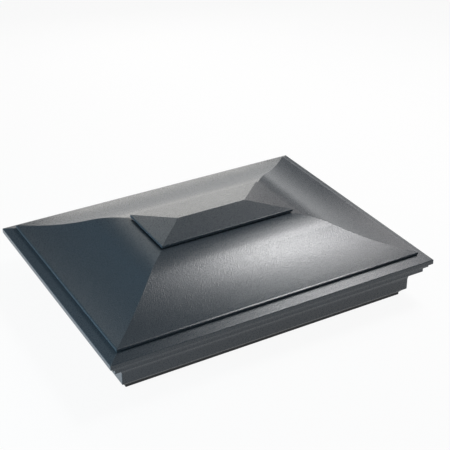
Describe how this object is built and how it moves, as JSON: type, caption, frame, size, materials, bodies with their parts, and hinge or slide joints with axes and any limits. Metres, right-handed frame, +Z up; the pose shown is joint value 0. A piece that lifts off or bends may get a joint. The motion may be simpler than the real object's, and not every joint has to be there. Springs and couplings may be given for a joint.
{
  "type": "chimney rain cap",
  "caption": "Closed rectangular chimney rain cap: stepped cornice frame with skirt and wall seals, ogee hood over a drip slot, and a low hipped top cover that lifts off.",
  "frame": {"origin": "plan centre of the cap at the foot of the wall seals", "axes": "+Z up, out of the stack; X along the long side; the front faces -Y"},
  "size_m": [0.5, 0.392, 0.1241],
  "materials": {
    "satin_coat": "fine-textured satin anthracite powder coat on aluminium",
    "mill_aluminium": "mill finish",
    "stainless": "bright stainless",
    "black_rubber": "matt EPDM rubber"
  },
  "bodies": {
    "base": {"front_rail": "satin_coat", "back_rail": "satin_coat", "left_rail": "satin_coat", "right_rail": "satin_coat", "wall_seal_front": "black_rubber", "wall_seal_back": "black_rubber", "wall_seal_left": "black_rubber", "wall_seal_right": "black_rubber", "corner_cleat_front_left": "mill_aluminium", "corner_cleat_front_right": "mill_aluminium", "corner_cleat_back_left": "mill_aluminium", "corner_cleat_back_right": "mill_aluminium", "bridge_bar_left": "mill_aluminium", "bridge_bar_right": "mill_aluminium", "bridge_screws": "stainless", "hood_pillar_front_left": "stainless", "hood_pillar_front_right": "stainless", "hood_pillar_back_left": "stainless", "hood_pillar_back_right": "stainless", "vent_spacers": "black_rubber"},
    "hood": {"hood_shell": "satin_coat", "hood_screws": "stainless", "hood_washers": "black_rubber", "cover_grommets": "black_rubber"},
    "cover": {"top_cover": "satin_coat", "cover_studs": "stainless"}
  },
  "joints": [
    {"name": "hood_lift", "type": "slide", "parent": "base", "child": "hood", "axis": [0, 0, 1], "range_m": [0, 0.1]},
    {"name": "cover_lift", "type": "slide", "parent": "hood", "child": "cover", "axis": [0, 0, 1], "range_m": [0, 0.06]}
  ]
}
